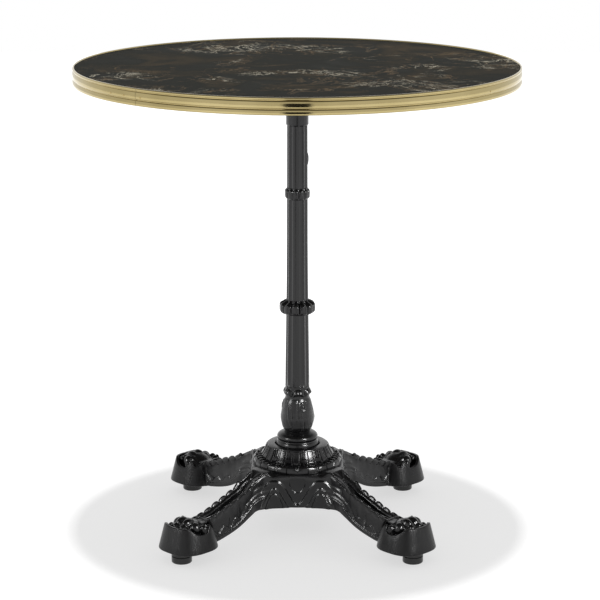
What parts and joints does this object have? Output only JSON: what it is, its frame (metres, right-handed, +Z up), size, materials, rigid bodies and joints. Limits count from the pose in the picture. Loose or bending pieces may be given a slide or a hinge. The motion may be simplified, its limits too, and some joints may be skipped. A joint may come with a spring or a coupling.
{
  "type": "bistro table",
  "caption": "Round bistro table: marbled top with a reeded brass band, fluted cast-iron column and ornate claw-foot cross base on adjustable glides.",
  "frame": {"origin": "on the floor, on the column's axis", "axes": "+Z up; -Y is the front; the legs point along the diagonals between X and Y"},
  "size_m": [0.7, 0.7, 0.754],
  "materials": {
    "black_iron": "satin black stove enamel over a fine sand-cast skin",
    "polished_brass": "polished drawn strip",
    "brass_pins": "dulled brass",
    "marbled_laminate": "dark brown-black marbled laminate, semi-matt",
    "backing_sheet": "matt dark backing laminate",
    "particleboard": "pressed wood particles",
    "zinc_steel": "zinc plated",
    "black_plastic": "moulded, fine grain"
  },
  "bodies": {
    "table": {"top_core": "particleboard", "top_laminate": "marbled_laminate", "backing_laminate": "backing_sheet", "rim_band": "polished_brass", "rim_pins": "brass_pins", "top_spider": "black_iron", "spider_screws": "zinc_steel", "tie_rod": "zinc_steel", "top_washer": "zinc_steel", "top_nut": "zinc_steel", "bottom_washer": "zinc_steel", "spring_washer": "zinc_steel", "bottom_nut": "zinc_steel", "column_casting": "black_iron", "base_casting": "black_iron"},
    "pad_front_left": {"glide_pad_front_left": "black_plastic"},
    "stud_front_left": {"glide_stud_front_left": "zinc_steel"},
    "pad_front_right": {"glide_pad_front_right": "black_plastic"},
    "stud_front_right": {"glide_stud_front_right": "zinc_steel"},
    "pad_back_right": {"glide_pad_back_right": "black_plastic"},
    "stud_back_right": {"glide_stud_back_right": "zinc_steel"},
    "pad_back_left": {"glide_pad_back_left": "black_plastic"},
    "stud_back_left": {"glide_stud_back_left": "zinc_steel"}
  },
  "joints": [
    {"name": "height_front_left", "type": "slide", "parent": "table", "child": "pad_front_left", "axis": [0, 0, 1], "range_m": [-0.009, 0.003]},
    {"name": "screw_front_left", "type": "hinge", "parent": "pad_front_left", "child": "stud_front_left", "pos_m": [-0.18003, -0.18003, 0], "axis": [0, 0, 1], "range_deg": [-2160, 720]},
    {"name": "height_front_right", "type": "slide", "parent": "table", "child": "pad_front_right", "axis": [0, 0, 1], "range_m": [-0.009, 0.003]},
    {"name": "screw_front_right", "type": "hinge", "parent": "pad_front_right", "child": "stud_front_right", "pos_m": [0.18003, -0.18003, 0], "axis": [0, 0, 1], "range_deg": [-2160, 720]},
    {"name": "height_back_right", "type": "slide", "parent": "table", "child": "pad_back_right", "axis": [0, 0, 1], "range_m": [-0.009, 0.003]},
    {"name": "screw_back_right", "type": "hinge", "parent": "pad_back_right", "child": "stud_back_right", "pos_m": [0.18003, 0.18003, 0], "axis": [0, 0, 1], "range_deg": [-2160, 720]},
    {"name": "height_back_left", "type": "slide", "parent": "table", "child": "pad_back_left", "axis": [0, 0, 1], "range_m": [-0.009, 0.003]},
    {"name": "screw_back_left", "type": "hinge", "parent": "pad_back_left", "child": "stud_back_left", "pos_m": [-0.18003, 0.18003, 0], "axis": [0, 0, 1], "range_deg": [-2160, 720]}
  ],
  "couplings": [
    {"joint": "screw_front_left", "follows": "height_front_left", "rad_per_m": 4188.8},
    {"joint": "screw_front_right", "follows": "height_front_right", "rad_per_m": 4188.8},
    {"joint": "screw_back_right", "follows": "height_back_right", "rad_per_m": 4188.8},
    {"joint": "screw_back_left", "follows": "height_back_left", "rad_per_m": 4188.8}
  ]
}
